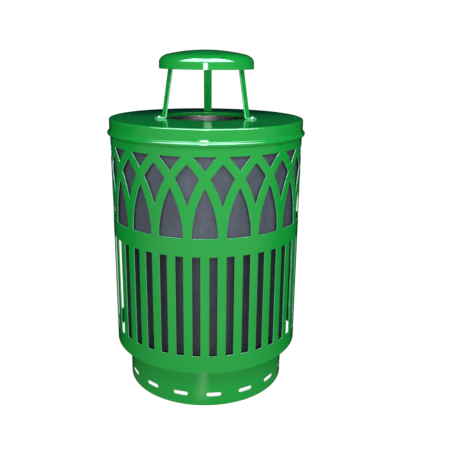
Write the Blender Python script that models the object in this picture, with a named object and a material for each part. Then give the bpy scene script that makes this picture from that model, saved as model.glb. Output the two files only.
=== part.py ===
"""Outdoor litter bin: laser-cut round steel body on a plinth ring, rigid liner,
lift-off spun lid with a rain cap on three legs.

Units are metres, +Z is up. The origin is on the ground at the centre of the plinth ring.
Angles called "bearing" are in degrees and run from the front of the bin (-Y) towards +X.
Every moving piece travels straight up the Z axis, so all object origins stay at the world
origin, which is on that axis.

Profiles are lists of (radius, z). "Run" is the distance along a profile from its first point.
"""

import math

import bmesh
import bpy
from mathutils import Vector
from mathutils.geometry import delaunay_2d_cdt

# ------------------------------------------------------------------ driving dimensions
GAP = 0.0003                    # clearance drawn between touching pieces

BODY_R = 0.3048                 # outside radius of the body shell
BODY_T = 0.0027                 # shell sheet
BODY_Z0 = 0.1389                # lower edge of the shell
PERIODS = 19                    # stems around the shell
PATTERN_BEARING = -0.8          # arch opening nearest the front

SLOT_W = 0.0242                 # tall slots, two per period
SLOT_Z0 = 0.1953
SLOT_Z1 = 0.5123

ARCH_Z0 = 0.5680                # where the interlaced arches spring from
ARCH_RHO = 0.3180               # centre-line radius of every curved bar
BAR_W = 0.0259                  # width of the curved bars and the stems
LATTICE_Z1 = 0.8032             # lower edge of the plain top band

BASE_R = 0.2624                 # outside radius of the plinth ring
BASE_T = 0.0027
BASE_IN_R = BASE_R - BASE_T
BASE_Z1 = 0.1590
BASE_FACETS = 48
BASE_START = -172.5             # bearing where the flat pattern begins
BASE_SLOTS = 15
BASE_SLOT_PITCH = 23.4          # degrees; the rest of the turn is left at the rolled seam
BASE_SLOT_FIRST = -158.4
BASE_SLOT_L = 0.0480
BASE_SLOT_H = 0.0135
BASE_SLOT_Z = 0.0385

FLOOR_R = 0.2800                # plate the liner stands on
FLOOR_HOLE_R = 0.0200           # hole in its middle
FLOOR_T = 0.0030
FLOOR_Z0 = BASE_Z1 + GAP
FLOOR_Z1 = FLOOR_Z0 + FLOOR_T
DRAIN_R = 0.0110
DRAIN_CENTRE_R = 0.1500         # distance of the drain holes from the axis
DRAIN_MARGIN = 0.0200           # mesh rings this far inside and outside that distance
DRAIN_BEARINGS = (3.75, 93.75, 183.75, 273.75)

HANGER_BEARINGS = (-135.0, -45.0, 45.0, 135.0)
HANGER_W = 0.0300
HANGER_T = 0.0030
HANGER_BEND = 0.0030            # radius on the inside of the U
HANGER_Z0 = 0.1397
HANGER_INNER_TOP = 0.1588
HANGER_OUTER_TOP = 0.1820
HANGER_SHELL_R = 0.3013         # outer face of the upright against the shell
HANGER_FACE_R = BASE_R + GAP + HANGER_T     # face of the inner upright under the bolt head
HANGER_BOLT_Z = 0.1515
HANGER_BOLT_R = 0.0029          # M6
HANGER_BOLT_REACH = 0.0075      # tail beyond the inner face of the plinth ring
HANGER_HOLE_R = 0.0033
HANGER_NUT_R = 0.0057
HANGER_NUT_H = 0.0050
HANGER_NUT_GAP = 0.0006

TAB_BEARINGS = (-99.5, 17.5, 134.5)
TAB_W = 0.0320
TAB_T = 0.0030
TAB_H = 0.0250
TAB_REACH = 0.0340
TAB_BEND = 0.0040               # radius on the outside of the bend
TAB_GAP = 0.0014                # to the inner face of the plinth ring
TAB_HOLE_R = 0.0065
TAB_HOLE_SHIFT = 0.0020         # hole centre inwards from the middle of the reach

LINER_FOOT_R = 0.2775           # rigid plastic liner: tapered lower wall, shoulder, wide collar
LINER_FLAT_R = 0.1500           # mesh ring on the flat bottom
LINER_WAIST_R = 0.2835
LINER_WAIST_Z = 0.5180
LINER_SHOULDER_Z = 0.5450
LINER_COLLAR_R = 0.2962
LINER_T = 0.0030
LINER_Z0 = FLOOR_Z1 + GAP
LINER_Z1 = 0.8680
LINER_CORNER = 0.0140
LINER_STEP = 0.0007             # inner wall's waist and shoulder sit this much higher
LINER_RIM = 0.0040
# rim points as (outwards from the collar radius, height from the top of the liner)
LINER_RIM_UNDER = [(0.0, -0.0070), (0.0010, -0.0045), (LINER_RIM, -0.0040)]
LINER_RIM_OVER = [(-LINER_T, -0.0070), (-0.0018, -0.0008), (LINER_RIM, 0.0)]
GRIP_L = 0.1000
GRIP_H = 0.0260
GRIP_Z = 0.8360
GRIP_BEARINGS = (-90.0, 90.0)

LID_TOP = 0.8811                # spun steel lid
LID_T = 0.0012
LID_CLEAR = 0.0007              # loose fit of the lid skirt over the shell
LID_R = BODY_R + LID_CLEAR + LID_T
LID_EDGE = 0.0055
LID_CROWN = 0.0018              # the middle of the lid stands this much above its rim
LID_HOLE_R = 0.1325
LID_LIP = 0.0114
LID_LIP_BEND = 0.0032
LID_FLAT_R0 = 0.1450            # mesh rings on the flat deck, inside and outside the leg bolts
LID_FLAT_R1 = 0.1900
LID_START = -168.0              # bearing where the flat pattern begins
BEAD_R = 0.0068
BEAD_Z = 0.8366
BEAD_HALF_ANGLE = 62            # degrees of the bead arc above and below its middle
BEAD_LEAD = 0.0008              # the plain skirt ends this much above the bead
LID_HEM_OUT = 0.0006            # bottom edge of the skirt outwards from LID_R
LID_FACETS = 56
LID_DECK = LID_TOP + LID_CROWN
LID_UNDER = LID_DECK - LID_T
BODY_Z1 = LID_TOP - 0.0052      # the shell's top edge bears in the rounded corner of the lid

CAP_R = 0.1479                  # rain cap
CAP_T = 0.0015
CAP_TOP = 1.0869
CAP_RIM_Z = 1.0295
CAP_CROWN_R = 0.5460
CAP_CROWN_STATIONS = (0.030, 0.060, 0.090)  # radii of the mesh rings on the crown
CAP_SHOULDER_R = 0.1190
CAP_SHOULDER_PULL = 0.0140      # handle length of the shoulder curve at both ends
CAP_SHOULDER_STEPS = 6
CAP_SKIRT_Z = 1.0478
CAP_FACETS = 36

LEG_BEARINGS = (-61.8, 58.2, 178.2)
LEG_W = 0.0267
LEG_T = 0.0048
LEG_FOOT_R = 0.1740             # outer end of the foot
LEG_ROOT_R = 0.1500             # outer face of the upright at lid level
LEG_LEAN = 0.1630               # inward lean, metres per metre of height
LEG_FOOT_BEND = 0.0078          # bend radii of the modelled path
LEG_TAB_BEND = 0.0030
LEG_TAB_R = 0.0920              # inner end of the tab under the cap
LEG_TAB_TOUCH_R = 0.1050        # where the tab takes the slope of the crown
LEG_TAB_GAP = 0.0009
CAP_T_SLOPED = CAP_T * 1.03     # allowance for the cap's upright thickness over the tab
LEG_BOLT_CENTRE_R = 0.1640      # distance of the bolts from the axis

BOLT_R = 0.0039                 # M8
BOLT_REACH = 0.0090             # tail below the underside of the lid
BOLT_HOLE_R = 0.0043
NUT_R = 0.0075
NUT_H = 0.0062

# bolt heads as (radius, height above the seat), from the top centre down
HANGER_BOLT_HEAD = [(0.0, 0.0038), (0.0044, 0.0038), (0.0052, 0.0030), (0.0052, 0.0)]
LEG_BOLT_HEAD = [(0.0, 0.0032), (0.0026, 0.0030), (0.0050, 0.0022), (0.0066, 0.0008),
                 (0.0066, 0.0)]

ROUND = 44                      # facets around the liner and the floor plate
SHARP_ANGLE = math.radians(32.0)    # edges at least this steep are shaded sharp
WELD_GRID = 2e5                 # cells per metre when welding points that coincide
MITRE_MIN = 0.3                 # limits how far a mitred corner can run out

GREEN = dict(colour=(0.030, 0.420, 0.072), roughness=0.28, metallic=0.0)
ZINC = dict(colour=(0.55, 0.56, 0.57), roughness=0.38, metallic=1.0)
PLASTIC = dict(colour=(0.058, 0.062, 0.080), roughness=0.60, metallic=0.0)


# ------------------------------------------------------------------ materials and meshes
def principled(name, colour, roughness, metallic):
    mat = bpy.data.materials.new(name)
    mat.use_nodes = True
    node = mat.node_tree.nodes["Principled BSDF"]
    node.inputs["Base Color"].default_value = (*colour, 1.0)
    node.inputs["Roughness"].default_value = roughness
    node.inputs["Metallic"].default_value = metallic
    mat.diffuse_color = (*colour, 1.0)
    return mat


def finish_mesh(name, verts, faces, look):
    """Make the object: one closed mesh, normals out, smooth with sharp edges kept."""
    mesh = bpy.data.meshes.new(name)
    mesh.from_pydata([tuple(v) for v in verts], [], faces)
    bm = bmesh.new()
    bm.from_mesh(mesh)
    bmesh.ops.recalc_face_normals(bm, faces=bm.faces)
    for face in bm.faces:
        face.smooth = True
    for edge in bm.edges:
        if len(edge.link_faces) == 2:
            edge.smooth = edge.calc_face_angle(0.0) < SHARP_ANGLE
    bm.to_mesh(mesh)
    bm.free()
    mesh.materials.append(principled("mat_" + name, **look))
    bpy.context.scene.collection.objects.link(bpy.data.objects.new(name, mesh))


# ------------------------------------------------------------------ outlines and profiles
def arc(cx, cy, radius, start, end, steps):
    """Points on an arc between two angles in degrees, both ends included."""
    angles = [math.radians(start + (end - start) * k / steps) for k in range(steps + 1)]
    return [(cx + radius * math.cos(a), cy + radius * math.sin(a)) for a in angles]


def circle(cx, cy, radius):
    """Outline of a round hole: twelve points."""
    return arc(cx, cy, radius, 0, 330, 11)


def obround(cx, cy, length, height):
    radius = height / 2
    shift = length / 2 - radius
    return (arc(cx + shift, cy, radius, -90, 90, 4)
            + arc(cx - shift, cy, radius, 90, 270, 4))


def polar_hole(bearing, centre_r, hole_r, flat_r, flat_run):
    """Round hole in a flat ring, as (bearing, run); the run is flat_run at radius flat_r."""
    hole = []
    for x, y in circle(0.0, 0.0, hole_r):
        radius = math.hypot(centre_r + x, y)
        turn = math.degrees(math.atan2(y, centre_r + x))
        hole.append((bearing + turn, flat_run + (radius - flat_r)))
    return hole


def split_edge(start, end, parts):
    """Evenly spaced points from start, leaving out the end."""
    (x0, y0), (x1, y1) = start, end
    return [(x0 + (x1 - x0) * k / parts, y0 + (y1 - y0) * k / parts) for k in range(parts)]


def in_polygon(point, polygon):
    inside = False
    for k in range(len(polygon)):
        (x0, y0), (x1, y1) = polygon[k - 1], polygon[k]
        if (y0 > point[1]) != (y1 > point[1]):
            if point[0] < (x1 - x0) * (point[1] - y0) / (y1 - y0) + x0:
                inside = not inside
    return inside


def offset_path(path, offset):
    """The path moved sideways, mitred at the corners (positive is to the left of travel)."""
    moved = []
    for k, (radius, z) in enumerate(path):
        normals = []
        if k > 0:
            step = Vector((radius - path[k - 1][0], z - path[k - 1][1])).normalized()
            normals.append(Vector((-step.y, step.x)))
        if k + 1 < len(path):
            step = Vector((path[k + 1][0] - radius, path[k + 1][1] - z)).normalized()
            normals.append(Vector((-step.y, step.x)))
        mitre = sum(normals, Vector((0.0, 0.0))).normalized()
        mitre = mitre * (offset / max(mitre.dot(normals[0]), MITRE_MIN))
        on_axis = abs(radius) < 1e-9
        moved.append((0.0 if on_axis else radius + mitre.x, z + mitre.y))
    return moved


def lengths(path):
    """Run of every point of the path."""
    runs = [0.0]
    for k in range(1, len(path)):
        runs.append(runs[-1] + math.dist(path[k], path[k - 1]))
    return runs


def along(path, runs, run):
    """Point of the path at this run."""
    k = 1
    while k < len(runs) - 1 and run > runs[k]:
        k += 1
    part = (run - runs[k - 1]) / (runs[k] - runs[k - 1])
    (r0, z0), (r1, z1) = path[k - 1], path[k]
    return r0 + part * (r1 - r0), z0 + part * (z1 - z0)


# ------------------------------------------------------------------ places in the world
def around(bearing, radius, z):
    angle = math.radians(bearing)
    return (radius * math.sin(angle), -radius * math.cos(angle), z)


def directions(bearing):
    """Unit vectors outwards from the Z axis and sideways, towards rising bearing."""
    angle = math.radians(bearing)
    out = Vector((math.sin(angle), -math.cos(angle), 0.0))
    side = Vector((math.cos(angle), math.sin(angle), 0.0))
    return out, side


def upright(bearing, radius):
    """Local frame whose height runs up Z, centred at this bearing and radius."""
    cx, cy, _ = around(bearing, radius, 0.0)
    return lambda x, y, h: (cx + x, cy + y, h)


def radial(bearing, z):
    """Local frame whose height runs outwards from the Z axis."""
    out, side = directions(bearing)
    return lambda x, y, h: tuple(out * h + side * x + Vector((0.0, 0.0, z + y)))


# ------------------------------------------------------------------ kinds of solid
def flat_pattern(x_lines, y_lines, holes, extra):
    """Triangulate a gridded rectangle with holes; returns the points and kept triangles."""
    points, edges = [], []

    def add(x, y):
        points.append(Vector((x, y)))
        return len(points) - 1

    grid = [[add(x, y) for y in y_lines] for x in x_lines]
    for i in range(len(x_lines)):
        for j in range(len(y_lines)):
            if j + 1 < len(y_lines):
                edges.append((grid[i][j], grid[i][j + 1]))
            if i + 1 < len(x_lines):
                edges.append((grid[i][j], grid[i + 1][j]))
    for x, y in extra:
        add(x, y)
    for hole in holes:
        ids = [add(x, y) for x, y in hole]
        edges += [(ids[k], ids[(k + 1) % len(ids)]) for k in range(len(ids))]
    flat, _, triangles, _, _, _ = delaunay_2d_cdt(points, edges, [], 0, 1e-7)
    keep = []
    for tri in triangles:
        x, y = (sum(flat[k][axis] for k in tri) / 3.0 for axis in (0, 1))
        if not (x_lines[0] < x < x_lines[-1] and y_lines[0] < y < y_lines[-1]):
            continue
        if not any(in_polygon((x, y), hole) for hole in holes):
            keep.append(tri)
    return flat, keep


def sheet(name, look, x_lines, y_lines, holes, face_a, face_b, copies=(0.0,), extra=()):
    """Sheet metal or moulded wall: a flat pattern with holes, laid onto two faces and
    closed along every edge. The pattern is repeated at every x shift in copies."""
    flat, triangles = flat_pattern(x_lines, y_lines, holes, extra)
    ids, side_a, side_b, faces = {}, [], [], []
    for shift in copies:
        local = {}
        for tri in triangles:
            for k in tri:
                if k in local:
                    continue
                place = Vector(face_a(flat[k][0] + shift, flat[k][1]))
                key = tuple(round(c * WELD_GRID) for c in place)
                if key not in ids:
                    ids[key] = len(side_a)
                    side_a.append(place)
                    side_b.append(Vector(face_b(flat[k][0] + shift, flat[k][1])))
                local[k] = ids[key]
            face = tuple(local[k] for k in tri)
            if len(set(face)) == 3:
                faces.append(face)
    used = {}
    for face in faces:
        for k in range(3):
            i, j = face[k], face[(k + 1) % 3]
            used.setdefault((min(i, j), max(i, j)), []).append((i, j))
    n = len(side_a)
    solid = faces + [(k + n, j + n, i + n) for i, j, k in faces]
    for uses in used.values():
        if len(uses) == 1:
            i, j = uses[0]
            solid.append((j, i, i + n, j + n))
    finish_mesh(name, side_a + side_b, solid, look)


def spun(name, look, path, offset, facets=ROUND, holes=(), start=0.0, inner=None):
    """A sheet profile turned round the Z axis; hole outlines are (bearing, run) points.
    The second face is the inner profile if given, else the path moved by the offset."""
    runs = lengths(path)

    def turned(profile):
        return lambda x, run: around(start + x * 360.0, *along(profile, runs, run))

    x_lines = [k / facets for k in range(facets + 1)]
    flat_holes = [[((bearing - start) / 360.0, run) for bearing, run in hole] for hole in holes]
    other = inner or offset_path(path, offset)
    sheet(name, look, x_lines, runs, flat_holes, turned(path), turned(other))


def strip(name, look, path, offset, width, bearing, hole):
    """A flat bar with one hole, bent along a path in the radial plane; width runs across
    it. The path is one face of the bar; the offset leads to the other."""
    runs = lengths(path)
    out, side = directions(bearing)

    def bent(profile):
        def place(x, run):
            radius, z = along(profile, runs, run)
            return out * radius + side * x + Vector((0.0, 0.0, z))

        return place

    other = offset_path(path, offset)
    sheet(name, look, [-width / 2, width / 2], runs, [hole], bent(path), bent(other))


def bolt(name, head, shank_r, seat, tail, facets, to_world):
    """A turned bolt: the head stands on the seat height, the shank ends at the tail height."""
    profile = [(radius, seat + h) for radius, h in head]
    profile += [(shank_r, seat), (shank_r, tail), (0.0, tail)]
    verts, faces, rings = [], [], []
    for radius, h in profile:
        if radius < 1e-9:
            rings.append([len(verts)])
            verts.append(to_world(0.0, 0.0, h))
            continue
        rings.append(list(range(len(verts), len(verts) + facets)))
        for k in range(facets):
            angle = 2 * math.pi * (k + 0.5) / facets
            verts.append(to_world(radius * math.cos(angle), radius * math.sin(angle), h))
    for one, two in zip(rings, rings[1:]):
        for k in range(facets):
            m = (k + 1) % facets
            if len(one) == 1:
                faces.append((one[0], two[k], two[m]))
            elif len(two) == 1:
                faces.append((one[k], two[0], one[m]))
            else:
                faces.append((one[k], two[k], two[m], one[m]))
    finish_mesh(name, verts, faces, ZINC)


def nut(name, corner_r, bore_r, bottom, top, to_world):
    """A hex nut with a round bore."""
    n = 24                      # four points to each of the six sides
    rim, bore = [], []
    for k in range(n):
        angle = 2 * math.pi * k / n
        from_flat = (angle % (math.pi / 3)) - math.pi / 6
        radius = corner_r * math.cos(math.pi / 6) / math.cos(from_flat)
        rim.append((radius * math.cos(angle), radius * math.sin(angle)))
        bore.append((bore_r * math.cos(angle), bore_r * math.sin(angle)))
    verts = [to_world(x, y, h) for h in (top, bottom) for x, y in rim + bore]
    faces = []
    for k in range(n):
        m = (k + 1) % n
        faces.append((k, m, n + m, n + k))
        faces.append((2 * n + k, 3 * n + k, 3 * n + m, 2 * n + m))
        faces.append((k, 2 * n + k, 2 * n + m, m))
        faces.append((n + k, n + m, 3 * n + m, 3 * n + k))
    finish_mesh(name, verts, faces, ZINC)


# ------------------------------------------------------------------ body shell
# The pattern is drawn flat: x round the outside from a stem, dz up from the arch springing.
PITCH = 2 * math.pi * BODY_R / PERIODS
CONCAVE_R = ARCH_RHO - BAR_W / 2
CONVEX_R = ARCH_RHO + BAR_W / 2


def concave_edge(dz):
    """Sideways position of the concave edge of a bar leaving a stem at x = 0."""
    return ARCH_RHO - math.sqrt(CONCAVE_R ** 2 - dz * dz)


def convex_edge(dz):
    """Sideways position of the convex edge of the same bar."""
    return ARCH_RHO - math.sqrt(CONVEX_R ** 2 - dz * dz)


def edge_height(edge_r, x):
    """Height above the springing where an edge of that radius reaches x."""
    return math.sqrt(edge_r ** 2 - (ARCH_RHO - x) ** 2)


def crossing():
    """Height above the springing where a convex edge meets the neighbour's concave edge."""
    low, high = 0.0, ARCH_RHO * 0.9
    for _ in range(60):
        middle = (low + high) / 2
        if convex_edge(middle) < PITCH - concave_edge(middle):
            low = middle
        else:
            high = middle
    return low


def curve(edge, dz0, dz1, steps):
    heights = [dz0 + (dz1 - dz0) * k / steps for k in range(steps + 1)]
    return [(edge(dz), dz) for dz in heights]


def mirrored(points):
    """The points reflected to the other side of the period, in the same order."""
    return [(PITCH - x, dz) for x, dz in points]


def arch_outline():
    left = curve(concave_edge, 0.0, edge_height(CONCAVE_R, PITCH / 2), 6)
    right = mirrored(reversed(left))[1:]
    return left + right + split_edge(right[-1], left[0], 3)[1:]


def diamond_outline():
    """The diamond above the stem at x = 0."""
    widest = crossing()
    half = curve(convex_edge, edge_height(CONVEX_R, 0.0), widest, 4)
    half += mirrored(curve(concave_edge, widest, edge_height(CONCAVE_R, PITCH), 3))[1:]
    return half + [(-x, dz) for x, dz in reversed(half[1:-1])]


def triangle_outline():
    """The triangle under the plain top band."""
    lattice_h = LATTICE_Z1 - ARCH_Z0
    near = mirrored(curve(convex_edge, edge_height(CONVEX_R, PITCH / 2), lattice_h, 2))
    far = mirrored(reversed(near[1:]))
    return near + split_edge(near[-1], far[0], 3)[1:] + far


def period_holes():
    holes = []
    for centre in (PITCH / 4, 3 * PITCH / 4):
        x0, x1 = centre - SLOT_W / 2, centre + SLOT_W / 2
        holes.append([(x0, SLOT_Z0), (x1, SLOT_Z0), (x1, SLOT_Z1), (x0, SLOT_Z1)])
    diamond = diamond_outline()
    next_diamond = [(x + PITCH, dz) for x, dz in diamond]
    for outline in (arch_outline(), diamond, next_diamond, triangle_outline()):
        holes.append([(x, dz + ARCH_Z0) for x, dz in outline])
    return holes


def build_body_shell():
    def face(radius):
        first = PATTERN_BEARING - 180.0 / PERIODS
        return lambda x, z: around(first + math.degrees(x / BODY_R), radius, z)

    # extra points split the plain top and bottom edges at each quarter pitch
    rim_marks = [(PITCH * k / 4, z) for k in (1, 2, 3) for z in (BODY_Z0, BODY_Z1)]
    sheet("body_shell", GREEN, [0.0, PITCH], [BODY_Z0, BODY_Z1], period_holes(),
          face(BODY_R), face(BODY_R - BODY_T),
          copies=[PITCH * k for k in range(PERIODS)], extra=rim_marks)


# ------------------------------------------------------------------ plinth and floor
def build_base_ring():
    def face(radius):
        return lambda x, z: around(math.degrees(x / BASE_R), radius, z)

    holes = []
    for k in range(BASE_SLOTS):
        x = math.radians(BASE_SLOT_FIRST + BASE_SLOT_PITCH * k) * BASE_R
        holes.append(obround(x, BASE_SLOT_Z, BASE_SLOT_L, BASE_SLOT_H))
    for bearing in HANGER_BEARINGS:
        holes.append(circle(math.radians(bearing) * BASE_R, HANGER_BOLT_Z, HANGER_HOLE_R))
    facet = 360.0 / BASE_FACETS
    x_lines = [math.radians(BASE_START + facet * k) * BASE_R for k in range(BASE_FACETS + 1)]
    sheet("base_ring", GREEN, x_lines, [0.0, BASE_Z1], holes, face(BASE_R), face(BASE_IN_R))


def build_floor_plate():
    radii = (FLOOR_HOLE_R, DRAIN_CENTRE_R - DRAIN_MARGIN, DRAIN_CENTRE_R + DRAIN_MARGIN, FLOOR_R)
    path = [(radius, FLOOR_Z1) for radius in radii]
    drains = [polar_hole(bearing, DRAIN_CENTRE_R, DRAIN_R, FLOOR_HOLE_R, 0.0)
              for bearing in DRAIN_BEARINGS]
    spun("floor_plate", GREEN, path, -FLOOR_T, holes=drains)


def build_hangers():
    """U-shaped brackets between plinth and shell, each with its bolt and nut."""
    bend_z = HANGER_Z0 + HANGER_T + HANGER_BEND
    outer_face = HANGER_SHELL_R - HANGER_T
    path = [(HANGER_FACE_R, HANGER_INNER_TOP)]
    path += arc(HANGER_FACE_R + HANGER_BEND, bend_z, HANGER_BEND, 180, 270, 2)
    path += arc(outer_face - HANGER_BEND, bend_z, HANGER_BEND, 270, 360, 2)
    path += [(outer_face, HANGER_OUTER_TOP)]
    hole = circle(0.0, HANGER_INNER_TOP - HANGER_BOLT_Z, HANGER_HOLE_R)
    nut_seat = BASE_IN_R - HANGER_NUT_GAP
    for n, bearing in enumerate(HANGER_BEARINGS, 1):
        strip(f"hanger_bracket_{n}", GREEN, path, -HANGER_T, HANGER_W, bearing, hole)
        frame = radial(bearing, HANGER_BOLT_Z)
        bolt(f"hanger_bolt_{n}", HANGER_BOLT_HEAD, HANGER_BOLT_R, HANGER_FACE_R + GAP,
             BASE_IN_R - HANGER_BOLT_REACH, 12, frame)
        nut(f"hanger_nut_{n}", HANGER_NUT_R, HANGER_HOLE_R, nut_seat - HANGER_NUT_H,
            nut_seat, frame)


def build_anchor_tabs():
    """L-shaped ground anchor tabs inside the plinth ring."""
    wall = BASE_IN_R - TAB_GAP
    path = [(wall - TAB_REACH, 0.0)]
    path += arc(wall - TAB_BEND, TAB_BEND, TAB_BEND, -90, 0, 2)
    path += [(wall, TAB_H)]
    hole = circle(0.0, TAB_REACH / 2 - TAB_HOLE_SHIFT, TAB_HOLE_R)
    for n, bearing in enumerate(TAB_BEARINGS, 1):
        strip(f"anchor_tab_{n}", GREEN, path, TAB_T, TAB_W, bearing, hole)


# ------------------------------------------------------------------ liner
def liner_wall(inset, step, rim):
    """Liner profile moved in by the inset; also returns the run at the shoulder."""
    bend_r = LINER_FOOT_R - LINER_CORNER
    path = [(radius, LINER_Z0 + inset) for radius in (0.0, LINER_FLAT_R, bend_r)]
    path += arc(bend_r, LINER_Z0 + LINER_CORNER, LINER_CORNER - inset, -90, 0, 4)[1:]
    path += [(LINER_WAIST_R - inset, LINER_WAIST_Z + step)]
    path += [(LINER_COLLAR_R - inset, LINER_SHOULDER_Z + step)]
    shoulder_run = lengths(path)[-1]
    path += [(LINER_COLLAR_R + out, LINER_Z1 + up) for out, up in rim]
    return path, shoulder_run


def build_liner():
    outer, shoulder_run = liner_wall(0.0, 0.0, LINER_RIM_UNDER)
    inner, _ = liner_wall(LINER_T, LINER_STEP, LINER_RIM_OVER)
    grip_run = shoulder_run + (GRIP_Z - LINER_SHOULDER_Z)
    outline = obround(0.0, 0.0, GRIP_L, GRIP_H)
    grips = [[(bearing + math.degrees(x / LINER_COLLAR_R), grip_run + z) for x, z in outline]
             for bearing in GRIP_BEARINGS]
    spun("liner", PLASTIC, outer, LINER_T, holes=grips, start=-180.0, inner=inner)


# ------------------------------------------------------------------ lid
def build_lid():
    """From the lip of the middle hole outwards, then down the skirt and round its bead."""
    bend = LID_LIP_BEND
    path = [(LID_HOLE_R, LID_DECK - LID_LIP)]
    path += arc(LID_HOLE_R + bend, LID_DECK - bend, bend, 180, 90, 3)
    path += [(LID_FLAT_R0, LID_DECK)]
    flat_run = lengths(path)[-1]
    path += [(LID_FLAT_R1, LID_DECK)]
    path += arc(LID_R - LID_EDGE, LID_TOP - LID_EDGE, LID_EDGE, 90, 0, 3)
    path += [(LID_R, BEAD_Z + BEAD_R + BEAD_LEAD)]
    path += arc(LID_R, BEAD_Z, BEAD_R, BEAD_HALF_ANGLE, -BEAD_HALF_ANGLE, 4)
    path += [(LID_R + LID_HEM_OUT, BEAD_Z - BEAD_R)]
    holes = [polar_hole(bearing, LEG_BOLT_CENTRE_R, BOLT_HOLE_R, LID_FLAT_R0, flat_run)
             for bearing in LEG_BEARINGS]
    spun("lid", GREEN, path, -LID_T, facets=LID_FACETS, holes=holes, start=LID_START)


# ------------------------------------------------------------------ rain cap and its legs
def crown_z(radius):
    return CAP_TOP - radius * radius / (2 * CAP_CROWN_R)


def build_rain_cap():
    """Shallow crown, a cubic curve over the shoulder, and a short upright skirt."""
    start = Vector((CAP_SHOULDER_R, crown_z(CAP_SHOULDER_R)))
    slope = Vector((1.0, -CAP_SHOULDER_R / CAP_CROWN_R)).normalized()
    end = Vector((CAP_R, CAP_SKIRT_Z))
    handle_a = start + slope * CAP_SHOULDER_PULL
    handle_b = end + Vector((0.0, CAP_SHOULDER_PULL))
    path = [(radius, crown_z(radius)) for radius in (0.0, *CAP_CROWN_STATIONS)]
    for k in range(CAP_SHOULDER_STEPS + 1):
        t = k / CAP_SHOULDER_STEPS
        point = (start * (1 - t) ** 3 + handle_a * (3 * t * (1 - t) ** 2)
                 + handle_b * (3 * t * t * (1 - t)) + end * t**3)
        path.append((point.x, point.y))
    path += [(CAP_R, CAP_RIM_Z)]
    spun("rain_cap", GREEN, path, -CAP_T, facets=CAP_FACETS)


def meet(point, along_a, other, along_b):
    """Where the line through point meets the line through other."""
    gap = other - point
    reach = (gap.x * along_b.y - gap.y * along_b.x) / (
        along_a.x * along_b.y - along_a.y * along_b.x)
    return point + along_a * reach


def fillet(before, corner, after, radius, steps):
    """Points of a rounded corner between the directions to its two neighbours."""
    to_before, to_after = (before - corner).normalized(), (after - corner).normalized()
    half = to_before.angle(to_after) / 2
    cut = radius / math.tan(half)
    centre = corner + (to_before + to_after).normalized() * (radius / math.sin(half))
    first = corner + to_before * cut - centre
    last = corner + to_after * cut - centre
    sweep = first.angle(last)
    points = []
    for k in range(steps + 1):
        weight_first = math.sin(sweep * (1 - k / steps)) / math.sin(sweep)
        weight_last = math.sin(sweep * k / steps) / math.sin(sweep)
        points.append(tuple(centre + first * weight_first + last * weight_last))
    return points


def leg_profile(foot_z):
    """Under the foot going inwards, up the inner face of the upright, in under the tab."""
    foot_end = Vector((LEG_FOOT_R, foot_z))
    lean = Vector((-LEG_LEAN, 1.0)).normalized()
    root = Vector((LEG_ROOT_R, LID_DECK)) - Vector((lean.y, -lean.x)) * LEG_T
    foot_corner = meet(foot_end, Vector((1.0, 0.0)), root, lean)

    touch_z = crown_z(LEG_TAB_TOUCH_R) - CAP_T_SLOPED - LEG_TAB_GAP
    tab_dir = Vector((1.0, -LEG_TAB_TOUCH_R / CAP_CROWN_R)).normalized()
    tab_under = Vector((LEG_TAB_TOUCH_R, touch_z)) + Vector((tab_dir.y, -tab_dir.x)) * LEG_T
    tab_corner = meet(root, lean, tab_under, tab_dir)
    tab_end = tab_under + tab_dir * ((LEG_TAB_R - tab_under.x) / tab_dir.x)

    return [tuple(foot_end),
            *fillet(foot_end, foot_corner, tab_corner, LEG_FOOT_BEND, 4),
            *fillet(foot_corner, tab_corner, tab_end, LEG_TAB_BEND, 4),
            tuple(tab_end)]


def build_cap_legs():
    """The three legs, each bolted through the lid."""
    foot_z = LID_DECK + GAP
    path = leg_profile(foot_z)
    hole = circle(0.0, LEG_FOOT_R - LEG_BOLT_CENTRE_R, BOLT_HOLE_R)
    nut_top = LID_UNDER - GAP
    for n, bearing in enumerate(LEG_BEARINGS, 1):
        strip(f"cap_leg_{n}", GREEN, path, -LEG_T, LEG_W, bearing, hole)
        frame = upright(bearing, LEG_BOLT_CENTRE_R)
        bolt(f"leg_bolt_{n}", LEG_BOLT_HEAD, BOLT_R, foot_z + LEG_T + GAP,
             LID_UNDER - BOLT_REACH, 16, frame)
        nut(f"leg_nut_{n}", NUT_R, BOLT_HOLE_R, nut_top - NUT_H, nut_top, frame)


# ------------------------------------------------------------------ build
for old in list(bpy.data.objects):
    bpy.data.objects.remove(old, do_unlink=True)

build_body_shell()
build_base_ring()
build_floor_plate()
build_hangers()
build_anchor_tabs()
build_liner()
build_lid()
build_rain_cap()
build_cap_legs()
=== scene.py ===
"""Looks for an outdoor litter bin: a pierced green body shell on a plinth ring, a plastic liner,
and a lid with a rain cap on three legs, in a pale studio. Metres, +Z up, the bin's axis on Z.

The camera stands on the -Y side. Bearings and azimuths are in degrees from -Y towards +X."""

import math

import bmesh
import bpy
from mathutils import Matrix, Vector
from mathutils.geometry import delaunay_2d_cdt


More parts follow.
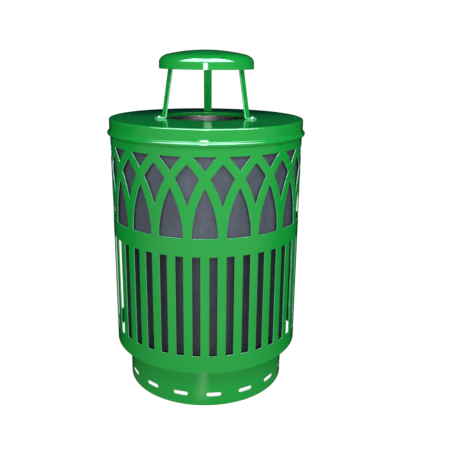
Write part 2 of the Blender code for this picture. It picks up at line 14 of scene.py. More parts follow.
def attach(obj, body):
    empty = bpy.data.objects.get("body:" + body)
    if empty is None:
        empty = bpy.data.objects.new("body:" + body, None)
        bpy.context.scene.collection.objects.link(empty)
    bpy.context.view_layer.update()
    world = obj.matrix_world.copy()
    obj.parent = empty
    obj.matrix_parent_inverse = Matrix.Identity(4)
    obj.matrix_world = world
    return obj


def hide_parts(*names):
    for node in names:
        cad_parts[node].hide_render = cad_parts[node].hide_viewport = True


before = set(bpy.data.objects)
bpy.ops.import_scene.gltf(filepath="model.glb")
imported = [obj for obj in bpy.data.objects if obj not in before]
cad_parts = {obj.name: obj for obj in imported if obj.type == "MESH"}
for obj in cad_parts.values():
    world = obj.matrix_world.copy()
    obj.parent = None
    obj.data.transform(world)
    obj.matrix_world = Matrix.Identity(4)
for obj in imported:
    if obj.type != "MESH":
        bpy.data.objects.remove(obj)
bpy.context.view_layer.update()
scene = bpy.context.scene

# ---------------------------------------------------------------- sizes
# body shell
BODY_R = 0.3048
BODY_T = 0.0027
BODY_Z0 = 0.1389
SHELL_BEVEL = 0.00045
PERIODS = 19  # repeats of the pattern round the shell
PATTERN_BEARING = -0.8  # middle of the first repeat
PITCH = 2 * math.pi * BODY_R / PERIODS
SLOT_W = 0.0242
SLOT_Z0 = 0.1953
SLOT_Z1 = 0.5123
ARCH_Z0 = 0.5680  # the curved bars spring from here
ARCH_R = 0.3180  # centre line of a curved bar
HALF_BAR = 0.0259 / 2
BAND_H = 0.8032 - ARCH_Z0  # height of the band of curved bars

# plinth ring
BASE_R = 0.2624
BASE_T = 0.0027
BASE_Z1 = 0.1590
BASE_LINES_Z = (0.012, 0.075)  # mesh rows between the two ends
BASE_STEP = 2.5  # degrees
BASE_SLOTS = 15
BASE_SLOT_PITCH = 23.4
BASE_SLOT_FIRST = -158.4
BASE_SLOT_L = 0.0480
BASE_SLOT_H = 0.0135
BASE_SLOT_Z = 0.0385
HANGER_BEARINGS = (-135.0, -45.0, 45.0, 135.0)
HANGER_BOLT_Z = 0.1515
HANGER_HOLE_R = 0.0033

# liner
LINER_FOOT_R = 0.2775
LINER_WAIST_R = 0.2835
LINER_WAIST_Z = 0.5180
LINER_COLLAR_R = 0.2962
LINER_SHOULDER_Z = 0.5450
LINER_BEND = 0.020
LINER_T = 0.0030
LINER_Z0 = 0.1626
LINER_Z1 = 0.8680
LINER_CORNER = 0.0140
LINER_RIM = 0.0040
COLLAR_LINE_Z = 0.700  # mesh row part way up the collar
GRIP_L = 0.1000
GRIP_H = 0.0260
GRIP_Z = 0.8360
GRIP_BEARINGS = (-90.0, 90.0)

# lid
LID_TOP = 0.8811
LID_T = 0.0012
LID_R = 0.3067
LID_EDGE = 0.0055
LID_DECK = LID_TOP + 0.0018
LID_HOLE_R = 0.1325
LID_LIP = 0.0114
LIP_BEND = 0.0032
DECK_LINE_R = 0.1450  # station on the level deck, inside the bolt holes
BEAD_R = 0.0068
BEAD_Z = 0.8366
BODY_Z1 = LID_TOP - 0.0052

# rain cap
CAP_R = 0.1479
CAP_T = 0.0015
CAP_TOP = 1.0869
CAP_RIM_Z = 1.0295
CAP_CROWN_R = 0.5460
CAP_SHOULDER_R = 0.1190
CAP_SKIRT_Z = 1.0478
SHOULDER_PULL = 0.0140  # reach of the shoulder curve's two handles

# legs of the rain cap
LEG_BEARINGS = (-61.8, 58.2, 178.2)
LEG_W = 0.0267
LEG_T = 0.0048
LEG_FOOT_R = 0.1740
LEG_ROOT_R = 0.1500
LEG_LEAN = 0.1630  # inward run per metre of rise
LEG_TAB_R = 0.0920
TAB_MID_R = 0.105  # where the tab runs parallel to the crown
TAB_GAP = 0.0009
LEG_BOLT_R = 0.1640
LEG_CORNER = 0.0035
BOLT_HOLE_R = 0.0043
FOOT_GAP = 0.0003


# ---------------------------------------------------------------- shader trees
class Nodes:
    """Builds the shader tree of a material or world."""

    def __init__(self, owner, output="ShaderNodeOutputMaterial"):
        owner.use_nodes = True
        self.tree = owner.node_tree
        self.tree.nodes.clear()
        self.x = 0
        self.output = self.add(output)

    def add(self, kind, inputs=None, **props):
        node = self.tree.nodes.new(kind)
        self.x += 60
        node.location = (self.x, 0)
        for name, value in props.items():
            setattr(node, name, value)
        self.fill(node, inputs or {})
        return node

    def fill(self, node, inputs):
        """Links or sets each named input; colours are given without alpha."""
        for name, value in inputs.items():
            socket = node.inputs[name]
            if isinstance(value, bpy.types.NodeSocket):
                self.tree.links.new(value, socket)
            elif socket.type == "RGBA":
                socket.default_value = (*value, 1.0)
            else:
                socket.default_value = value

    def surface(self, shader):
        self.fill(self.output, {"Surface": shader})

    def coord(self, kind="Object"):
        return self.add("ShaderNodeTexCoord").outputs[kind]

    def attribute(self, name):
        return self.add("ShaderNodeAttribute", attribute_name=name).outputs["Fac"]

    def xyz(self, vector):
        return self.add("ShaderNodeSeparateXYZ", {"Vector": vector}).outputs

    def mapped(self, vector, scale, rotation=(0.0, 0.0, 0.0)):
        inputs = {"Vector": vector, "Scale": scale, "Rotation": rotation}
        return self.add("ShaderNodeMapping", inputs).outputs["Vector"]

    def noise(self, vector, scale, detail, rough, distortion=0.0, between=None, to=(0.0, 1.0)):
        """Noise, stretched from the levels `between` to the range `to` if they are given."""
        inputs = {"Vector": vector, "Scale": scale, "Detail": detail}
        inputs |= {"Roughness": rough, "Distortion": distortion}
        value = self.add("ShaderNodeTexNoise", inputs).outputs["Fac"]
        return self.map(value, between, to) if between else value

    def map(self, value, between, to=(0.0, 1.0)):
        inputs = {"Value": value, "From Min": between[0], "From Max": between[1]}
        inputs |= {"To Min": to[0], "To Max": to[1]}
        return self.add("ShaderNodeMapRange", inputs).outputs["Result"]

    def math(self, operation, a, b=0.0, clamp=False):
        node = self.add("ShaderNodeMath", {0: a, 1: b}, operation=operation, use_clamp=clamp)
        return node.outputs[0]

    def product(self, first, *others):
        for other in others:
            first = self.math("MULTIPLY", first, other)
        return first

    def mix(self, factor, a, b, blend="MIX"):
        inputs = {"Factor": factor, "A": a, "B": b}
        node = self.add("ShaderNodeMix", inputs, data_type="RGBA", blend_type=blend)
        return node.outputs["Result"]

    def mix_shader(self, factor, a, b):
        return self.add("ShaderNodeMixShader", {0: factor, 1: a, 2: b}).outputs[0]

    def glow(self, kind, strength, color=None):
        """An emission or background shader; without a colour it keeps the node's own."""
        inputs = {"Strength": strength}
        if color is not None:
            inputs["Color"] = color
        return self.add(kind, inputs).outputs[0]

    def bump(self, height, strength, distance, normal=None):
        inputs = {"Height": height, "Strength": strength, "Distance": distance}
        if normal is not None:
            inputs["Normal"] = normal
        return self.add("ShaderNodeBump", inputs).outputs["Normal"]


def new_material(name):
    material = bpy.data.materials.new(name)
    nodes = Nodes(material)
    bsdf = nodes.add("ShaderNodeBsdfPrincipled")
    nodes.surface(bsdf.outputs["BSDF"])
    return material, nodes, bsdf, nodes.coord()


def scaled(color, factor):
    return tuple(c * factor for c in color)


def edge_wear_and_highlight(nodes, coord, to):
    """Patchy mask on the cut edges, from the attribute that build() stores: abrasion, and on the
    green coat also a painted highlight.
    """
    edge = nodes.attribute("edge_wear_and_highlight")
    patch = nodes.noise(coord, scale=55.0, detail=5.0, rough=0.6, between=(0.38, 0.66), to=to)
    return nodes.math("MULTIPLY", edge, patch, clamp=True)


def green_coat():
    """Gloss powder coat: faint orange peel, thin pale cut edges that are abraded coat and partly a
    painted highlight, a trace of dust on level faces, and painted shade where faces are seen
    edge-on.
    """
    base = (0.0080, 0.396, 0.0480)
    speck_color = tuple(min(1.0, c * 1.4 + 0.01) for c in base)
    abraded_and_lit_edge_color = (0.23, 0.64, 0.44)
    dust_color = (0.16, 0.27, 0.17)
    edge_on_shade_color = (0.0, 0.004, 0.001)
    gloss = 0.085
    material, nodes, bsdf, coord = new_material("green_powder_coat")

    batch = nodes.noise(coord, scale=5.5, detail=3.0, rough=0.5, between=(0.3, 0.7))
    tint = nodes.mix(batch, scaled(base, 0.965), scaled(base, 1.035))
    speck = nodes.noise(coord, scale=900.0, detail=2.0, rough=0.5, between=(0.35, 0.65))
    speck_share = 0.04
    tint = nodes.mix(nodes.product(speck, speck_share), tint, speck_color)
    # pale cut edges: abraded coat, and partly a painted highlight of the lit cut faces
    abraded_and_lit_edge = edge_wear_and_highlight(nodes, coord, to=(0.55, 1.0))
    tint = nodes.mix(abraded_and_lit_edge, tint, abraded_and_lit_edge_color)

    normal = nodes.add("ShaderNodeNewGeometry").outputs["Normal"]
    level = nodes.map(nodes.xyz(normal)["Z"], between=(0.80, 1.0))
    settled = nodes.noise(
        coord, scale=9.0, detail=6.0, rough=0.65, between=(0.45, 0.75), to=(0.0, 0.035)
    )
    dust = nodes.product(level, settled)
    tint = nodes.mix(dust, tint, dust_color)

    # painted shade: faces seen almost edge-on are darkened to near black; on faces that are not
    # level this darkens the silhouettes, on the level deck it stands in for the rain cap's shadow
    # on its far part
    facing = nodes.add("ShaderNodeLayerWeight", {"Blend": 0.5}).outputs["Facing"]
    steep_face_shade = nodes.product(
        nodes.map(facing, between=(0.76, 0.94), to=(0.0, 0.70)),
        nodes.math("SUBTRACT", 1.0, level),
    )
    # painted shadow of the rain cap: level faces seen at a low angle, as the far deck is
    flat = nodes.product(nodes.map(facing, between=(0.902, 0.918), to=(0.0, 0.88)), level)
    painted_edge_on_shade = nodes.math("ADD", steep_face_shade, flat, clamp=True)
    tint = nodes.mix(painted_edge_on_shade, tint, edge_on_shade_color)

    dust_rough = 0.4
    worn_rough = 0.15
    rough_range = (gloss - 0.015, gloss + 0.025)
    rough = nodes.noise(
        coord, scale=14.0, detail=5.0, rough=0.6, between=(0.3, 0.7), to=rough_range
    )
    rough = nodes.math("ADD", rough, nodes.product(dust, dust_rough))
    rough = nodes.math("ADD", rough, nodes.product(abraded_and_lit_edge, worn_rough))

    peel = nodes.noise(coord, scale=190.0, detail=2.0, rough=0.45)
    soft = nodes.noise(coord, scale=30.0, detail=2.0, rough=0.5)
    bumps = nodes.bump(soft, strength=0.030, distance=0.0010)
    bumps = nodes.bump(peel, strength=0.018, distance=0.0003, normal=bumps)
    inputs = {"Base Color": tint, "Roughness": rough, "Normal": bumps}
    nodes.fill(bsdf, inputs | {"IOR": 1.52, "Specular IOR Level": 0.5})
    return material


def liner_plastic():
    """Slate-grey moulded plastic: mottle, flow lines up the wall, scuffs on the rim and edges,
    painted shade below the collar, and a lighter inside that is partly scuffs and partly painted
    light.
    """
    base = (0.047, 0.054, 0.073)
    flow_color = (0.135, 0.145, 0.180)
    scratch_color = (0.19, 0.20, 0.23)
    inside_scuff_and_light_color = (0.105, 0.110, 0.135)
    worn_color = (0.17, 0.172, 0.195)
    material, nodes, bsdf, coord = new_material("liner_moulded_plastic")

    mottle = nodes.noise(coord, scale=150.0, detail=6.0, rough=0.75, between=(0.38, 0.64))
    color = nodes.mix(mottle, scaled(base, 0.70), scaled(base, 1.30))

    upright = nodes.mapped(coord, scale=(1.0, 1.0, 0.10))
    flow = nodes.noise(upright, scale=34.0, detail=4.0, rough=0.6, between=(0.35, 0.68))
    flow_share = 0.22
    color = nodes.mix(nodes.product(flow, flow_share), color, flow_color)

    slanted = nodes.mapped(coord, scale=(0.12, 1.0, 1.0), rotation=(0.0, 0.9, 0.0))
    scratch = nodes.noise(
        slanted, scale=230.0, detail=3.0, rough=0.6, between=(0.64, 0.72), to=(0.0, 0.35)
    )
    patch = nodes.noise(coord, scale=12.0, detail=2.0, rough=0.5, between=(0.48, 0.60))
    color = nodes.mix(nodes.product(scratch, patch), color, scratch_color)

    cloud = nodes.noise(
        coord, scale=11.0, detail=4.0, rough=0.6, distortion=0.6, between=(0.32, 0.68)
    )
    dark = nodes.mix(1.0, color, (0.80, 0.74, 0.80), "MULTIPLY")
    light = nodes.mix(1.0, color, (1.10, 1.16, 1.14), "MULTIPLY")
    color = nodes.mix(cloud, dark, light)

    # painted shade: darker below the collar, where the wall is seen through the slots
    shade = nodes.map(nodes.xyz(coord)["Z"], between=(0.50, 0.56), to=(0.46, 1.0))
    grey = nodes.add("ShaderNodeCombineXYZ", {"X": shade, "Y": shade, "Z": shade})
    color = nodes.mix(1.0, color, grey.outputs["Vector"], "MULTIPLY")

    # lighter inside: scuffs, and partly painted light standing in for the lit inside of the liner
    inside = nodes.attribute("inside")
    rubbed_and_lit = nodes.noise(
        upright, scale=90.0, detail=5.0, rough=0.7, between=(0.30, 0.62), to=(0.35, 0.85)
    )
    color = nodes.mix(nodes.product(inside, rubbed_and_lit), color, inside_scuff_and_light_color)
    color = nodes.mix(edge_wear_and_highlight(nodes, coord, to=(0.15, 0.6)), color, worn_color)

    inside_polish = 0.22
    rough = nodes.noise(
        coord, scale=70.0, detail=5.0, rough=0.6, between=(0.3, 0.7), to=(0.40, 0.56)
    )
    rough = nodes.math("SUBTRACT", rough, nodes.product(inside, inside_polish))
    grain = nodes.noise(coord, scale=620.0, detail=3.0, rough=0.6)
    bumps = nodes.bump(grain, strength=0.16, distance=0.0004)
    bumps = nodes.bump(flow, strength=0.10, distance=0.0008, normal=bumps)
    inputs = {"Base Color": color, "Roughness": rough, "Normal": bumps}
    nodes.fill(bsdf, inputs | {"Specular IOR Level": 0.5})
    return material


def zinc_plate():
    """Zinc-plated fastener: bright, faintly yellowed, with dull patches."""
    material, nodes, bsdf, coord = new_material("zinc_plate")
    patch = nodes.noise(coord, scale=160.0, detail=5.0, rough=0.6, between=(0.35, 0.65))
    color = nodes.mix(patch, (0.30, 0.31, 0.32), (0.48, 0.48, 0.46))
    rough = nodes.noise(
        coord, scale=90.0, detail=4.0, rough=0.6, between=(0.3, 0.7), to=(0.34, 0.52)
    )
    grain = nodes.noise(coord, scale=900.0, detail=2.0, rough=0.5)
    bumps = nodes.bump(grain, strength=0.10, distance=0.0002)
    inputs = {"Base Color": color, "Roughness": rough, "Normal": bumps, "Metallic": 1.0}
    nodes.fill(bsdf, inputs)
    return material


# ---------------------------------------------------------------- outlines
def arc(cx, cy, r, start, end, steps):
    """Points from angle start to angle end, in degrees."""
    angles = [math.radians(start + (end - start) * i / steps) for i in range(steps + 1)]
    return [(cx + r * math.cos(a), cy + r * math.sin(a)) for a in angles]


def circle(cx, cy, r):
    return arc(cx, cy, r, 0, 345, 23)


def obround(cx, cy, length, height):
    r = height / 2
    reach = length / 2 - r
    return arc(cx + reach, cy, r, -90, 90, 12) + arc(cx - reach, cy, r, 90, 270, 12)


def split_edge(a, b, parts):
    """Points from a up to, but without, b."""
    steps = [i for i in range(parts)]
    return [(a[0] + (b[0] - a[0]) * i / parts, a[1] + (b[1] - a[1]) * i / parts) for i in steps]


def towards(a, b, distance):
    """The point at a distance from a on the way to b."""
    a, b = Vector(a), Vector(b)
    return tuple(a + (b - a).normalized() * distance)


def meet(p, p_dir, q, q_dir):
    """Crossing of two lines, each given by a point and a direction."""
    cross = p_dir.x * q_dir.y - p_dir.y * q_dir.x
    return p + p_dir * (((q.x - p.x) * q_dir.y - (q.y - p.y) * q_dir.x) / cross)


def fillet(a, corner, b, r, steps):
    """Arc of radius r that rounds the corner between a and b."""
    to_a, to_b = (a - corner).normalized(), (b - corner).normalized()
    half = to_a.angle(to_b) / 2
    cut = r / math.tan(half)
    centre = corner + (to_a + to_b).normalized() * (r / math.sin(half))
    first, last = corner + to_a * cut - centre, corner + to_b * cut - centre
    sweep = first.angle(last)
    points = []
    for i in range(steps + 1):
        first_share = math.sin(sweep * (1 - i / steps)) / math.sin(sweep)
        last_share = math.sin(sweep * i / steps) / math.sin(sweep)
        points.append(tuple(centre + first * first_share + last * last_share))
    return points


def soften(outline, r, steps=3):
    """Rounds the sharp corners of a closed outline by about r."""
    out = []
    for i, point in enumerate(outline):
        corner = Vector(point)
        back = Vector(outline[i - 1]) - corner
        ahead = Vector(outline[(i + 1) % len(outline)]) - corner
        angle = back.angle(ahead)
        if angle > math.radians(150) or min(back.length, ahead.length) < r * 0.2:
            out.append(tuple(corner))
            continue
        cut = min(r / math.tan(angle / 2), back.length * 0.45, ahead.length * 0.45)
        start, end = corner + back.normalized() * cut, corner + ahead.normalized() * cut
        for j in range(steps + 1):
            t = j / steps
            point = start * (1 - t) ** 2 + corner * (2 * t * (1 - t)) + end * t * t
            out.append(tuple(point))
    return out


def grow(outline, distance):
    """A closed outline moved outwards, mitred."""
    count = len(outline)
    area = sum(
        outline[i - 1][0] * outline[i][1] - outline[i][0] * outline[i - 1][1]
        for i in range(count)
    )
    sign = 1.0 if area > 0 else -1.0
    out = []
    for i in range(count):
        point = Vector(outline[i])
        before = (point - Vector(outline[i - 1])).normalized()
        after = (Vector(outline[(i + 1) % count]) - point).normalized()
        normal = Vector((before.y, -before.x)) * sign
        mitre = (normal + Vector((after.y, -after.x)) * sign).normalized()
        out.append(tuple(point + mitre * (distance / max(mitre.dot(normal), 0.35))))
    return out


def contains(outline, x, y):
    inside = False
    for i in range(len(outline)):
        (x0, y0), (x1, y1) = outline[i - 1], outline[i]
        if (y0 > y) != (y1 > y) and x < (x1 - x0) * (y - y0) / (y1 - y0) + x0:
            inside = not inside
    return inside


# ---------------------------------------------------------------- section paths (r, z)
def lengths(path):
    """Length along the path at each station."""
    out = [0.0]
    for i in range(1, len(path)):
        out.append(out[-1] + math.dist(path[i], path[i - 1]))
    return out


def left_normals(path, i):
    """Left-hand normals of the one or two segments that meet at station i."""
    near = path[max(i - 1, 0) : i + 2]
    return [
        Vector((z0 - z1, r1 - r0)).normalized() for (r0, z0), (r1, z1) in zip(near, near[1:])
    ]


def offset_path(path, distance):
    """The path moved to its left; stations on the axis stay on it."""
    out = []
    for i, (r, z) in enumerate(path):
        normals = left_normals(path, i)
        mitre = sum(normals, Vector((0.0, 0.0))).normalized()
        mitre = mitre * (distance / max(mitre.dot(normals[0]), 0.3))
        out.append((0.0 if abs(r) < 1e-9 else r + mitre.x, z + mitre.y))
    return out


def path_normals(path):
    out = []
    for i, (r, _) in enumerate(path):
        normal = sum(left_normals(path, i), Vector((0.0, 0.0))).normalized()
        if abs(r) < 1e-9:
            normal = Vector((0.0, 1.0 if normal.y > 0 else -1.0))
        out.append(normal)
    return out


def profile(path, stations, side):
    """Function from a length along the stations to ((r, z), normal) on the path."""
    normals = path_normals(path)

    def at(u):
        i = 1
        while i < len(stations) - 1 and u > stations[i]:
            i += 1
        share = (u - stations[i - 1]) / (stations[i] - stations[i - 1])
        (r0, z0), (r1, z1) = path[i - 1], path[i]
        point = (r0 + share * (r1 - r0), z0 + share * (z1 - z0))
        blend = min(1.0, max(0.0, share))
        normal = normals[i - 1] * (1 - blend) + normals[i] * blend
        return point, normal.normalized() * side

    return at


def two_profiles(path, thickness, second=None):
    """Profiles of a sheet's outer face, on the path, and of its second face.
    The second face lies to the left of the path, or to the right if thickness is negative."""
    stations = lengths(path)
    side = math.copysign(1.0, -thickness)
    second = second or offset_path(path, thickness)
    return profile(path, stations, side), profile(second, stations, -side)


def crown_z(r):
    """Height of the rain cap's domed top."""
    return CAP_TOP - r**2 / (2 * CAP_CROWN_R)


# ---------------------------------------------------------------- sheet meshes
def polar(bearing, radial, z):
    angle = math.radians(bearing)
    return Vector((radial * math.sin(angle), -radial * math.cos(angle), z))


def flat_pattern(x_lines, u_lines, holes, bevel, closed_start):
    """Triangulates a grid less its holes. Cut edges keep back by the bevel."""
    first = u_lines[0] + (0.0 if closed_start else bevel)
    u_lines = [first, *u_lines[1:-1], u_lines[-1] - bevel]
    rows = len(u_lines)
    points = [Vector((x, u)) for x in x_lines for u in u_lines]
    edges = []
    for i in range(len(x_lines)):
        for j in range(rows):
            here = i * rows + j
            if j + 1 < rows:
                edges.append((here, here + 1))
            if i + 1 < len(x_lines):
                edges.append((here, here + rows))
    cuts = [grow(hole, bevel) for hole in holes]
    for cut in cuts:
        start = len(points)
        points += [Vector(point) for point in cut]
        edges += [(start + i, start + (i + 1) % len(cut)) for i in range(len(cut))]
    flat, _, triangles, _, _, _ = delaunay_2d_cdt(points, edges, [], 0, 1e-7)
    kept = []
    for triangle in triangles:
        x = sum(flat[i][0] for i in triangle) / 3.0
        u = sum(flat[i][1] for i in triangle) / 3.0
        if not (x_lines[0] < x < x_lines[-1] and u_lines[0] < u < u_lines[-1]):
            continue
        if not any(contains(cut, x, u) for cut in cuts):
            kept.append(triangle)
    return flat, kept


def sheet(x_lines, u_lines, holes, places, bevel, copies=(0.0,), closed_start=False):
    """Flat pattern laid on two faces, with softly rounded cut edges.
    The two places turn (x, u) into (point, normal). Returns verts, normals, faces and a cut-edge
    mask for abrasion and, on the green coat, a painted highlight."""
    place_a, place_b = places
    flat, triangles = flat_pattern(x_lines, u_lines, holes, bevel, closed_start)
    ids, laid = {}, []
    verts, normals, verts_b, normals_b = [], [], [], []
    for shift in copies:
        for triangle in triangles:
            spots = [(flat[i][0] + shift, flat[i][1]) for i in triangle]
            corners = []
            for spot in spots:
                point, normal = place_a(*spot)
                key = tuple(round(c * 2e5) for c in point)  # joins points that coincide
                if key not in ids:
                    ids[key] = len(verts)
                    verts.append(point)
                    normals.append(normal)
                    point, normal = place_b(*spot)
                    verts_b.append(point)
                    normals_b.append(normal)
                corners.append(ids[key])
            if len(set(corners)) == 3:
                laid.append((corners, spots))
    count = len(verts)
    verts += verts_b
    normals += normals_b
    edge_abrasion_and_highlight = [0.0] * (2 * count)
    faces = [tuple(corners) for corners, _ in laid]
    faces += [tuple(i + count for i in reversed(corners)) for corners, _ in laid]

    edges = {}
    for corners, spots in laid:
        for i in range(3):
            j = (i + 1) % 3
            a, b = corners[i], corners[j]
            uses = edges.setdefault((min(a, b), max(a, b)), [])
            uses.append((a, b, spots[i], spots[j]))
    border = [uses[0] for uses in edges.values() if len(uses) == 1]

    # directions out of the material at each border vertex, in the flat pattern
    outward = {}
    for a, b, spot_a, spot_b in border:
        along = Vector((spot_b[0] - spot_a[0], spot_b[1] - spot_a[1])).normalized()
        away = Vector((along.y, -along.x))
        outward.setdefault(a, []).append((away, spot_a))
        outward.setdefault(b, []).append((away, spot_b))

    # two vertices on the cut face beside each border vertex, in the mask for abrasion and, on the
    # green coat, a painted highlight
    ring = {}
    for vertex, pushes in outward.items():
        mitre = sum((away for away, _ in pushes), Vector((0.0, 0.0)))
        if mitre.length < 1e-6:
            mitre = pushes[0][0].copy()
        mitre.normalize()
        step = mitre * (bevel / max(min(mitre.dot(away) for away, _ in pushes), 0.35))
        x, u = pushes[0][1]
        point_a, normal_a = place_a(x + step.x, u + step.y)
        point_b, normal_b = place_b(x + step.x, u + step.y)
        through = point_b - point_a
        cut = min(bevel, through.length * 0.3)
        through.normalize()
        side = point_a - verts[vertex]
        side = side - through * side.dot(through)
        side.normalize()
        ring[vertex] = (len(verts), len(verts) + 1)
        verts += [point_a + through * cut, point_b - through * cut]
        normals += [side * 0.92 + normal_a * 0.39, side * 0.92 + normal_b * 0.39]
        edge_abrasion_and_highlight += [1.0, 1.0]
    for a, b, _, _ in border:
        (a1, a2), (b1, b2) = ring[a], ring[b]
        faces += [(b, a, a1, b1), (b1, a1, a2, b2), (b2, a2, a + count, b + count)]
    return verts, normals, faces, edge_abrasion_and_highlight


def build(piece, surface, body, finish):
    """Fine stand-in for a CAD piece; faces are wound to agree with the given normals."""
    verts, normals, faces, edge_abrasion_and_highlight = surface
    material, slot_name = finish
    wound = []
    for face in faces:
        a, b, c = (verts[i] for i in face[:3])
        facing = (b - a).cross(c - a)
        if len(face) == 4 and facing.length < 1e-12:
            facing = (c - a).cross(verts[face[3]] - a)
        wanted = sum((normals[i] for i in face), Vector((0, 0, 0)))
        wound.append(tuple(reversed(face)) if facing.dot(wanted) < 0 else face)
    mesh = bpy.data.meshes.new(f"{piece}_fine")
    mesh.from_pydata([tuple(v) for v in verts], [], wound)
    mesh.polygons.foreach_set("use_smooth", [True] * len(mesh.polygons))
    mesh.attributes.new("edge_wear_and_highlight", "FLOAT", "POINT").data.foreach_set("value", edge_abrasion_and_highlight)
    mesh.normals_split_custom_set_from_vertices([tuple(n.normalized()) for n in normals])
    mesh.materials.append(material)
    obj = bpy.data.objects.new(f"{piece}_fine", mesh)
    scene.collection.objects.link(obj)
    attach(obj, body)
    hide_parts(piece)
    return obj


def cylinder_places(radius, thickness, start=0.0):
    """Outer and inner face of a cylinder; x is the arc length at the outer radius."""

    def face(r, sign):
        def place(x, z):
            bearing = start + math.degrees(x / radius)
            return polar(bearing, r, z), polar(bearing, sign, 0.0)

        return place

    return face(radius, 1.0), face(radius - thickness, -1.0)


def spun(path, thickness, segments, start, bevel, holes=(), second=None, closed_start=False):
    """A section path turned round the axis; holes are in (bearing, length along the path)."""
    girth = max(r for r, _ in path) * 2 * math.pi

    def turned(at):
        def place(x, u):
            (r, z), normal = at(u)
            bearing = start + x / girth * 360.0
            return polar(bearing, r, z), polar(bearing, normal.x, normal.y)

        return place

    places = [turned(at) for at in two_profiles(path, thickness, second)]
    x_lines = [i / segments * girth for i in range(segments + 1)]
    flat_holes = [[((b - start) / 360.0 * girth, u) for b, u in hole] for hole in holes]
    return sheet(x_lines, lengths(path), flat_holes, places, bevel, closed_start=closed_start)


# ---------------------------------------------------------------- body shell
# One repeat is PITCH wide. A curved bar springs from each of its sides, at x = 0 and x = PITCH,
# and leans into the repeat. Heights here are above ARCH_Z0.
def inner_edge(height):
    """x of the left bar's edge nearer its centre of curvature."""
    return ARCH_R - math.sqrt((ARCH_R - HALF_BAR) ** 2 - height * height)


def outer_edge(height):
    """x of the left bar's edge farther from its centre of curvature."""
    return ARCH_R - math.sqrt((ARCH_R + HALF_BAR) ** 2 - height * height)


def inner_height(x):
    return math.sqrt((ARCH_R - HALF_BAR) ** 2 - (ARCH_R - x) ** 2)


def outer_height(x):
    return math.sqrt((ARCH_R + HALF_BAR) ** 2 - (ARCH_R - x) ** 2)


def curve(edge, start, end, steps):
    heights = [start + (end - start) * i / steps for i in range(steps + 1)]
    return [(edge(height), height) for height in heights]


def crossing_height():
    """Where a bar's outer edge meets the inner edge of the opposite bar."""
    low, high = 0.0, ARCH_R * 0.9
    for _ in range(60):
        middle = (low + high) / 2
        if outer_edge(middle) < PITCH - inner_edge(middle):
            low = middle
        else:
            high = middle
    return low


def mirrored(points):
    return [(PITCH - x, z) for x, z in points]


def raised(outline, shift=0.0):
    return [(x + shift, z + ARCH_Z0) for x, z in outline]


def slot_hole(centre):
    x0, x1 = centre - SLOT_W / 2, centre + SLOT_W / 2
    outline = split_edge((x0, SLOT_Z0), (x1, SLOT_Z0), 2)
    outline += split_edge((x1, SLOT_Z0), (x1, SLOT_Z1), 8)
    outline += split_edge((x1, SLOT_Z1), (x0, SLOT_Z1), 2)
    outline += split_edge((x0, SLOT_Z1), (x0, SLOT_Z0), 8)
    return soften(outline, 0.0009)


def arch_hole():
    left = curve(inner_edge, 0.0, inner_height(PITCH / 2), 16)
    right = mirrored(reversed(left))[1:]
    foot = split_edge(right[-1], left[0], 6)[1:]
    return raised(soften(left + right + foot, 0.0010))


def diamond_outline():
    """Diamond centred on x = 0."""
    side = crossing_height()
    bottom = math.sqrt((ARCH_R + HALF_BAR) ** 2 - ARCH_R**2)
    lower = curve(outer_edge, bottom, side, 10)
    upper = mirrored(curve(inner_edge, side, inner_height(PITCH), 8))
    half = lower + upper[1:]
    return soften(half + [(-x, z) for x, z in reversed(half[1:-1])], 0.0010)


def triangle_hole():
    right = mirrored(curve(outer_edge, outer_height(PITCH / 2), BAND_H, 6))
    left = mirrored(reversed(right[1:]))
    top = split_edge(right[-1], left[0], 6)[1:]
    return raised(soften(right + top + left, 0.0010)) if False else raised(
        soften(right + left_top(right, left), 0.0010)
    )


def left_top(right, left):
    """The level top edge, then the left side down."""
    return split_edge(right[-1], left[0], 6)[1:] + left


def body_shell():
    quarter = PITCH / 4
    slots = (quarter, 3 * quarter)
    diamond = diamond_outline()
    holes = [slot_hole(PITCH / 4), slot_hole(3 * PITCH / 4), arch_hole()]
    holes += [raised(diamond), raised(diamond, PITCH), triangle_hole()]
    x_lines = [0.0, PITCH, quarter, 2 * quarter, 3 * quarter]
    x_lines += [c + s * (SLOT_W / 2 + SHELL_BEVEL) for c in slots for s in (-1, 1)]
    places = cylinder_places(BODY_R, BODY_T, PATTERN_BEARING - 180.0 / PERIODS)
    copies = [PITCH * i for i in range(PERIODS)]
    surface = sheet(sorted(x_lines), [BODY_Z0, BODY_Z1], holes, places, SHELL_BEVEL, copies)
    build("body_shell", surface, "stand", GREEN)


# ---------------------------------------------------------------- other pieces
def base_ring():
    bearings = [BASE_SLOT_FIRST + BASE_SLOT_PITCH * i for i in range(BASE_SLOTS)]
    holes = [
        obround(math.radians(b) * BASE_R, BASE_SLOT_Z, BASE_SLOT_L, BASE_SLOT_H)
        for b in bearings
    ]
    holes += [
        circle(math.radians(b) * BASE_R, HANGER_BOLT_Z, HANGER_HOLE_R) for b in HANGER_BEARINGS
    ]
    # the seam, at -173 degrees, misses every hole
    x_lines = [math.radians(-173.0 + BASE_STEP * i) * BASE_R for i in range(145)]
    z_lines = [0.0, *BASE_LINES_Z, BASE_Z1]
    surface = sheet(x_lines, z_lines, holes, cylinder_places(BASE_R, BASE_T), bevel=0.0004)
    build("base_ring", surface, "stand", GREEN)


def mark_inside(obj):
    """Sets the inside attribute on the inward faces of the wall and the top of the floor."""
    inside = obj.data.attributes.new("inside", "FLOAT", "POINT")
    for i, vert in enumerate(obj.data.vertices):
        out = Vector((vert.co.x, vert.co.y, 0.0))
        out = out.normalized() if out.length > 1e-6 else Vector((0.0, 0.0, -1.0))
        on_floor = vert.normal.z > 0.5 and vert.co.z < 0.2
        inside.data[i].value = 1.0 if vert.normal.dot(out) < -0.3 or on_floor else 0.0


